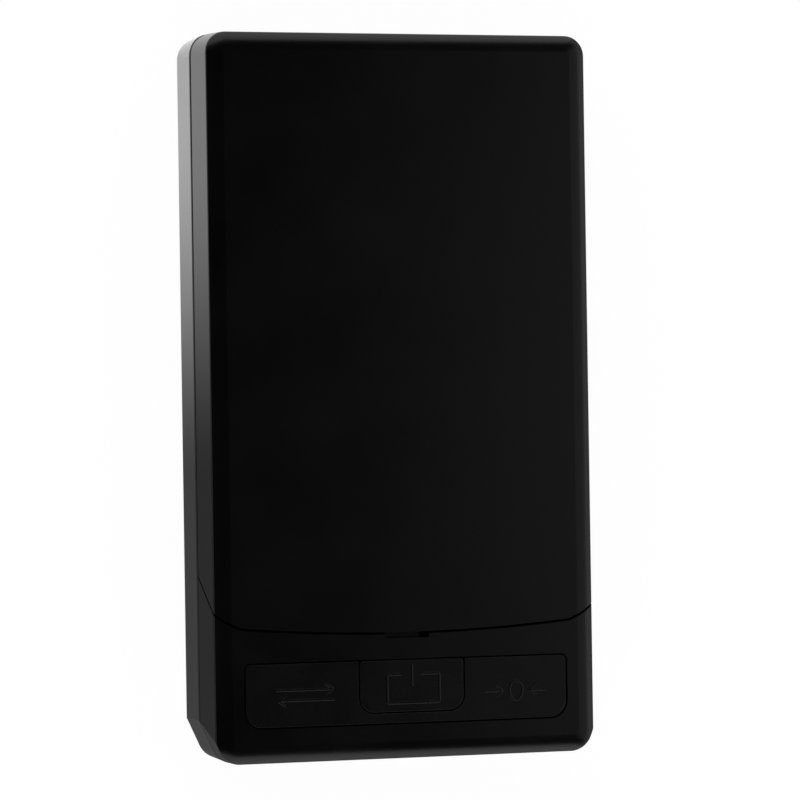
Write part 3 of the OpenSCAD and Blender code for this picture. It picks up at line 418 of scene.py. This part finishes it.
guidePlastic = castPolymer("frostedLightGuide", "#DDE2E8", "#EEF1F5", 0.35, 3.0, polymerSkin)
windowAcrylic = clearAcrylic(acrylic)
lcdGlass = displayLayer("polarisedFloatGlass", fieldGlass)
digitCrystal = displayLayer("switchedLiquidCrystal", crystal)
boardMask = solderMask(mask)
sleeveFilm = cellSleeve(sleeve)

finishes = {
    "base_case": baseAbs, "top_case": noseAbs, "battery_door": baseAbs, "lid": lidAbs,
    "power_key": keyAbs, "side_keys": keyAbs, "tray_carrier": carrierAbs, "weighing_tray": trayMetal,
    "hinge_pins": pinMetal, "case_screws": screwMetal, "board_screws": screwMetal, "carrier_screws": screwMetal,
    "load_cell_screws": screwMetal, "battery_contacts": contactMetal, "load_cell": cellMetal,
    "rubber_feet": footRubber, "power_dome": domeRubber, "mode_dome": domeRubber, "tare_dome": domeRubber,
    "zebra_strips": zebraRubber, "strain_gauges": gaugeSeal, "ribbon_cable": ribbonFilm,
    "controller_chip": chipEpoxy, "backlight": guidePlastic, "display_window": windowAcrylic,
    "display_glass": lcdGlass, "main_board": boardMask, "display_board": boardMask, "battery_cells": sleeveFilm}

# small moulded or broken edges, as widths in millimetres
edges = {"battery_door": 0.15, "power_key": 0.05, "side_keys": 0.05, "tray_carrier": 0.15, "weighing_tray": 0.2,
         "hinge_pins": 0.15, "rubber_feet": 0.25}
edgeForm = {"weld": 0.002, "segments": 3, "fromAngle": 32}


def dressNode(name, s):
    node = nodes[name]
    node.data.materials.clear()
    node.data.materials.append(finishes[name])
    if name not in edges:
        return
    weld = node.modifiers.new("weld", "WELD")
    weld.merge_threshold = s["weld"] * mm
    bevel = node.modifiers.new("edges", "BEVEL")
    bevel.width = edges[name] * mm
    bevel.segments = s["segments"]
    bevel.limit_method = "ANGLE"
    bevel.angle_limit = math.radians(s["fromAngle"])
    bevel.use_clamp_overlap = False
    node.modifiers.new("normals", "WEIGHTED_NORMAL")


for name in nodes:
    dressNode(name, edgeForm)
nodes["display_window"].visible_shadow = False  # the clear window lets the light through to the display
print("nodes dressed:", len(nodes))


def placePiece(name, mesh, material):
    mesh.materials.clear()
    mesh.materials.append(material)
    piece = bpy.data.objects.new(name, mesh)
    scene.collection.objects.link(piece)
    return piece


def meshFrom(name, bm):
    bmesh.ops.recalc_face_normals(bm, faces=bm.faces)
    mesh = bpy.data.meshes.new(name)
    bm.to_mesh(mesh)
    bm.free()
    return mesh


def spinProfile(bm, profile, x, y, turns):  # profile holds (radius, height) in metres
    angles = [2 * math.pi * k / turns for k in range(turns)]
    rings = [[bm.verts.new((x + r * math.cos(a), y + r * math.sin(a), z)) for a in angles] for r, z in profile]
    for below, above in zip(rings, rings[1:]):
        for k in range(turns):
            n = (k + 1) % turns
            bm.faces.new([below[k], below[n], above[n], above[k]]).smooth = True
    return rings


# raised signs on the keys: half-sunk beads along paths in millimetres

signs = {"beadRadius": 0.55, "proud": 0.045, "cornerRadius": 0.45, "cornerSteps": 5, "roundness": 6}
powerPaths = [[(-1.1, -48.4), (-3.75, -48.4), (-3.75, -53.4), (5.8, -53.4), (5.8, -48.4), (2.45, -48.4)],
              [(0.8, -46.8), (0.8, -50.6)]]
swapPaths = [[(-23.8, -50.5), (-13.6, -50.5)], [(-15.0, -49.55), (-13.5, -50.5), (-15.0, -51.45)],
             [(-13.2, -52.3), (-23.4, -52.3)], [(-22.0, -51.35), (-23.5, -52.3), (-22.0, -53.25)]]
zeroOval = {"centre": (19.9, -51.9), "radii": (1.2, 1.65), "points": 28}
zeroPaths = [[(14.2, -51.9), (17.4, -51.9)], [(16.2, -50.95), (17.5, -51.9), (16.2, -52.85)],
             [(25.6, -51.9), (22.4, -51.9)], [(23.6, -50.95), (22.3, -51.9), (23.6, -52.85)]]


def roundCorners(points, radius, steps):
    points = [Vector(p) for p in points]
    path = [points[0]]
    for before, corner, after in zip(points, points[1:], points[2:]):
        start = corner + (before - corner).normalized() * radius
        end = corner + (after - corner).normalized() * radius
        for i in range(steps + 1):
            t = i / steps
            path.append(start * (1 - t) ** 2 + corner * 2 * t * (1 - t) + end * t * t)
    return path + [points[-1]]


def ovalPath(s):
    (x, y), (wide, high) = s["centre"], s["radii"]
    turns = [2 * math.pi * k / s["points"] for k in range(s["points"])]
    return [(x + wide * math.cos(a), y + high * math.sin(a)) for a in turns]


def raiseSign(name, openPaths, closedPaths, key, body, s):
    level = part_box(key)[1][2] - (s["beadRadius"] - s["proud"]) * mm
    curve = bpy.data.curves.new(name, "CURVE")
    curve.dimensions = "3D"
    curve.bevel_depth = s["beadRadius"] * mm
    curve.bevel_resolution = s["roundness"]
    curve.use_fill_caps = True
    paths = [(roundCorners(p, s["cornerRadius"], s["cornerSteps"]), False) for p in openPaths]
    paths += [(p, True) for p in closedPaths]
    for path, closed in paths:
        spline = curve.splines.new("POLY")
        spline.points.add(len(path) - 1)
        for point, (x, y) in zip(spline.points, path):
            point.co = (x * mm, y * mm, level, 1)
        spline.use_cyclic_u = closed
        spline.use_smooth = True
    maker = bpy.data.objects.new(name + "Maker", curve)
    scene.collection.objects.link(maker)
    mesh = bpy.data.meshes.new_from_object(maker.evaluated_get(bpy.context.evaluated_depsgraph_get()))
    bpy.data.objects.remove(maker)
    bpy.data.curves.remove(curve)
    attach(placePiece(name, mesh, keyAbs), body)


raiseSign("powerSign", powerPaths, [], "power_key", "power_button", signs)
raiseSign("swapSign", swapPaths, [], "side_keys", "side_buttons", signs)
raiseSign("zeroSign", zeroPaths, [ovalPath(zeroOval)], "side_keys", "side_buttons", signs)
print("key signs raised")

# dark seven-segment digits on the display glass

readout = {"digits": "000", "pointAfter": 1, "height": 9.0, "width": 4.8, "bar": 0.95, "gap": 0.14,
           "pitch": 7.0, "slant": 6, "lift": 0.03, "film": 0.05, "fromRight": 4.0, "dotShare": 0.55,
           "dotPoints": 16}
segmentLit = {"0": "abcdef", "1": "bc", "2": "abged", "3": "abgcd", "4": "fgbc", "5": "afgcd", "6": "afgedc",
              "7": "abc", "8": "abcdefg", "9": "abcdfg"}


def segmentOutlines(s):
    w, h, half = s["width"] / 2, s["height"] / 2, s["bar"] / 2
    ends = {"a": ((-w, h), (w, h)), "g": ((-w, 0), (w, 0)), "d": ((-w, -h), (w, -h)), "f": ((-w, 0), (-w, h)),
            "e": ((-w, -h), (-w, 0)), "b": ((w, 0), (w, h)), "c": ((w, -h), (w, 0))}
    outlines = {}
    for name, (start, end) in ends.items():
        start, end = Vector(start), Vector(end)
        along = (end - start).normalized()
        across = Vector((-along.y, along.x)) * half
        start, end = start + along * s["gap"], end - along * s["gap"]
        outlines[name] = [start, start + along * half - across, end - along * half - across, end,
                          end - along * half + across, start + along * half + across]
    return outlines


def makeReadout(s):
    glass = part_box("display_glass")
    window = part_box("display_window")
    centreY = (window[0][1] + window[1][1]) / 2 / mm
    outlines = segmentOutlines(s)
    lean = math.tan(math.radians(s["slant"]))
    reach = s["bar"] * s["dotShare"]
    turns = [2 * math.pi / s["dotPoints"] * k for k in range(s["dotPoints"])]
    dot = [Vector((reach * math.cos(a), reach * math.sin(a))) for a in turns]
    shapes = []
    for i, digit in enumerate(s["digits"]):
        fromEnd = len(s["digits"]) - 1 - i
        middle = window[1][0] / mm - s["fromRight"] - s["width"] / 2 - fromEnd * s["pitch"]
        for name in segmentLit[digit]:
            shapes.append([(middle + p.x + p.y * lean, p.y) for p in outlines[name]])
        if i + 1 == s["pointAfter"]:
            low = -s["height"] / 2
            shapes.append([(middle + s["pitch"] / 2 + p.x + low * lean, low + p.y) for p in dot])
    bm = bmesh.new()
    low = glass[1][2] + s["lift"] * mm
    for shape in shapes:
        under = [bm.verts.new((x * mm, (centreY + y) * mm, low)) for x, y in shape]
        over = [bm.verts.new((x * mm, (centreY + y) * mm, low + s["film"] * mm)) for x, y in shape]
        bm.faces.new(over)
        bm.faces.new(under[::-1])
        for k in range(len(shape)):
            n = (k + 1) % len(shape)
            bm.faces.new([under[k], under[n], over[n], over[k]])
    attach(placePiece("readoutDigits", meshFrom("readoutDigits", bm), digitCrystal), "case")


makeReadout(readout)
print("readout made")

# pan-head screws with a cross recess, seen from below in their wells

screwForm = {"head": 1.8, "face": 1.3, "rise": 0.5, "roundSteps": 5, "headHeight": 1.1, "shank": 1.0,
             "tip": 0.45, "tipLength": 0.9, "crossLength": 1.05, "crossWidth": 0.24, "crossDepth": 0.65,
             "crossTaper": 0.7, "turns": 40}


def addScrew(bm, x, y, low, high, s):
    arcs = [math.pi / 2 * k / s["roundSteps"] for k in range(s["roundSteps"] + 1)]
    curve = [(s["face"] + (s["head"] - s["face"]) * math.sin(a), s["rise"] * (1 - math.cos(a))) for a in arcs]
    length = (high - low) / mm
    profile = curve + [(s["head"], s["headHeight"]), (s["shank"], s["headHeight"]),
                       (s["shank"], length - s["tipLength"]), (s["tip"], length)]
    rings = spinProfile(bm, [(r * mm, low + z * mm) for r, z in profile], x, y, s["turns"])
    bm.faces.new(rings[-1])
    long, wide = s["crossLength"], s["crossWidth"]
    arms = [(wide, wide), (wide, long), (-wide, long), (-wide, wide), (-long, wide), (-long, -wide),
            (-wide, -wide), (-wide, -long), (wide, -long), (wide, -wide), (long, -wide), (long, wide)]
    mouth = [bm.verts.new((x + px * mm, y + py * mm, low)) for px, py in arms]
    taper, depth = s["crossTaper"], s["crossDepth"]
    deep = [bm.verts.new((x + px * taper * mm, y + py * taper * mm, low + depth * mm)) for px, py in arms]
    for k in range(len(arms)):
        n = (k + 1) % len(arms)
        bm.faces.new([mouth[k], mouth[n], deep[n], deep[k]])
    roots = range(0, len(arms), 3)  # the inner corners between the arms
    bm.faces.new([deep[k] for k in roots])
    for k in roots:
        bm.faces.new([deep[k], deep[k + 1], deep[k + 2], deep[(k + 3) % len(arms)]])
    loops = (rings[0], mouth)
    rim = [bm.edges.get((loop[k], loop[(k + 1) % len(loop)])) for loop in loops for k in range(len(loop))]
    bmesh.ops.triangle_fill(bm, edges=rim, use_beauty=True)


def makeScrews(name, node, places, s):
    low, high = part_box(node)
    bm = bmesh.new()
    for x, y in places(low, high):
        addScrew(bm, x, y, low[2], high[2], s)
    piece = placePiece(name, meshFrom(name, bm), screwMetal)
    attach(piece, "case")
    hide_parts(node)


def cornerPlaces(low, high):
    inset = screwForm["head"] * mm
    return [(x, y) for x in (low[0] + inset, high[0] - inset) for y in (low[1] + inset, high[1] - inset)]


def linePlaces(low, high):
    inset = screwForm["head"] * mm
    return [((low[0] + high[0]) / 2, y) for y in (low[1] + inset, high[1] - inset)]


makeScrews("crossCaseScrews", "case_screws", cornerPlaces, screwForm)
makeScrews("crossCellScrews", "load_cell_screws", linePlaces, screwForm)
print("screws made")

# silicone domes under the keys, in millimetres from the board

domeForm = {"turns": 40, "keep": 0.8,
            "profile": [(1.5, 2.0), (1.85, 1.98), (2.05, 1.86), (2.4, 1.3), (2.8, 0.8), (3.3, 0.5), (3.75, 0.4),
                        (4.0, 0.32), (4.0, 0.0), (3.1, 0.0), (2.5, 0.55), (2.05, 1.1), (1.8, 1.45), (1.3, 1.5)]}


def makeDome(name, node, s):
    low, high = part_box(node)
    x, y = (low[0] + high[0]) / 2, (low[1] + high[1]) / 2
    bm = bmesh.new()
    rings = spinProfile(bm, [(r * mm, low[2] + z * mm) for r, z in s["profile"]], x, y, s["turns"])
    bm.faces.new(rings[0])
    bm.faces.new(rings[-1])
    piece = placePiece(name, meshFrom(name, bm), domeRubber)
    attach(piece, "case")
    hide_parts(node)
    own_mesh(piece)


makeDome("softPowerDome", "power_dome", domeForm)
makeDome("softLeftDome", "mode_dome", domeForm)
makeDome("softRightDome", "tare_dome", domeForm)
print("domes made")

# the load cell's bar and its gauges, sliced across their middle between the clamped end and the pan's post

bendForm = {"share": 0.2, "cuts": 16, "weld": 0.001}


def bendNode(name, node, s):
    low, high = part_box("load_cell")
    middle = (Vector(low) + Vector(high)) / 2
    half = Vector((0, (high[1] - low[1]) * s["share"], 0))
    bm = bmesh.new()
    bm.from_mesh(nodes[node].data)
    bmesh.ops.remove_doubles(bm, verts=bm.verts, dist=s["weld"] * mm)
    for i in range(s["cuts"] + 1):
        cut = middle + half * (2 * i / s["cuts"] - 1)
        everything = bm.verts[:] + bm.edges[:] + bm.faces[:]
        bmesh.ops.bisect_plane(bm, geom=everything, plane_co=cut, plane_no=(0, 1, 0))
    piece = placePiece(name, meshFrom(name, bm), finishes[node])
    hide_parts(node)
    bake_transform(piece)


bendNode("bendingBar", "load_cell", bendForm)
bendNode("bendingGauges", "strain_gauges", bendForm)
print("load cell made")
